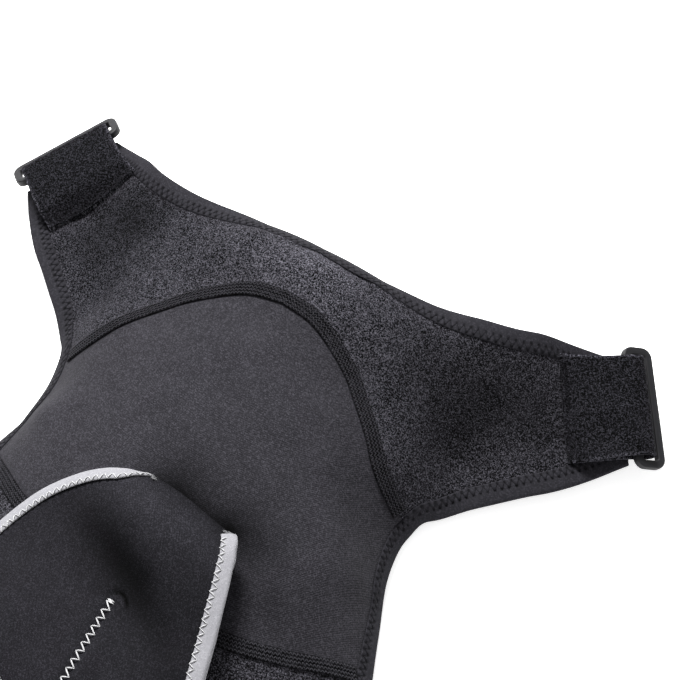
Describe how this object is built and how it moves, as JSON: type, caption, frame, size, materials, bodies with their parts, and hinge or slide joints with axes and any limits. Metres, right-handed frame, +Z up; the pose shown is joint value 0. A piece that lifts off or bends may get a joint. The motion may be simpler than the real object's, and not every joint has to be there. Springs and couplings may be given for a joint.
{
  "type": "shoulder brace",
  "caption": "Soft shoulder brace lying open: domed yoke with two wings, smooth cap, arm sleeve, bound pressure pad, and webbing loops holding plastic rings for a strap.",
  "frame": {"origin": "below the middle of the lying brace's box, on the surface it lies on", "axes": "+X from the left wing to the right wing, +Y from the sleeve's end to the neck edge, +Z up from the surface"},
  "size_m": [0.372, 0.3348, 0.0688],
  "materials": {
    "fleece": "brushed loop fleece",
    "jersey": "smooth knitted jersey",
    "tape": "woven tape",
    "webbing": "woven webbing",
    "plastic": "moulded, semi-matt",
    "pad_cloth": "smooth knitted cloth over foam",
    "grey_tape": "woven tape"
  },
  "bodies": {
    "root": {"yoke_panel": "fleece", "cap_panel": "jersey", "sleeve_panel": "fleece", "upper_seam_tape": "tape", "lower_seam_tape": "tape", "neck_binding": "tape", "left_arm_binding": "tape", "right_arm_binding": "tape", "sleeve_end_binding": "tape", "left_wing_binding": "tape", "right_wing_binding": "tape", "left_strap_loop": "webbing", "left_ring": "plastic", "right_strap_loop": "webbing", "right_ring": "plastic", "pressure_pad": "pad_cloth", "pad_binding": "grey_tape"}
  },
  "joints": []
}
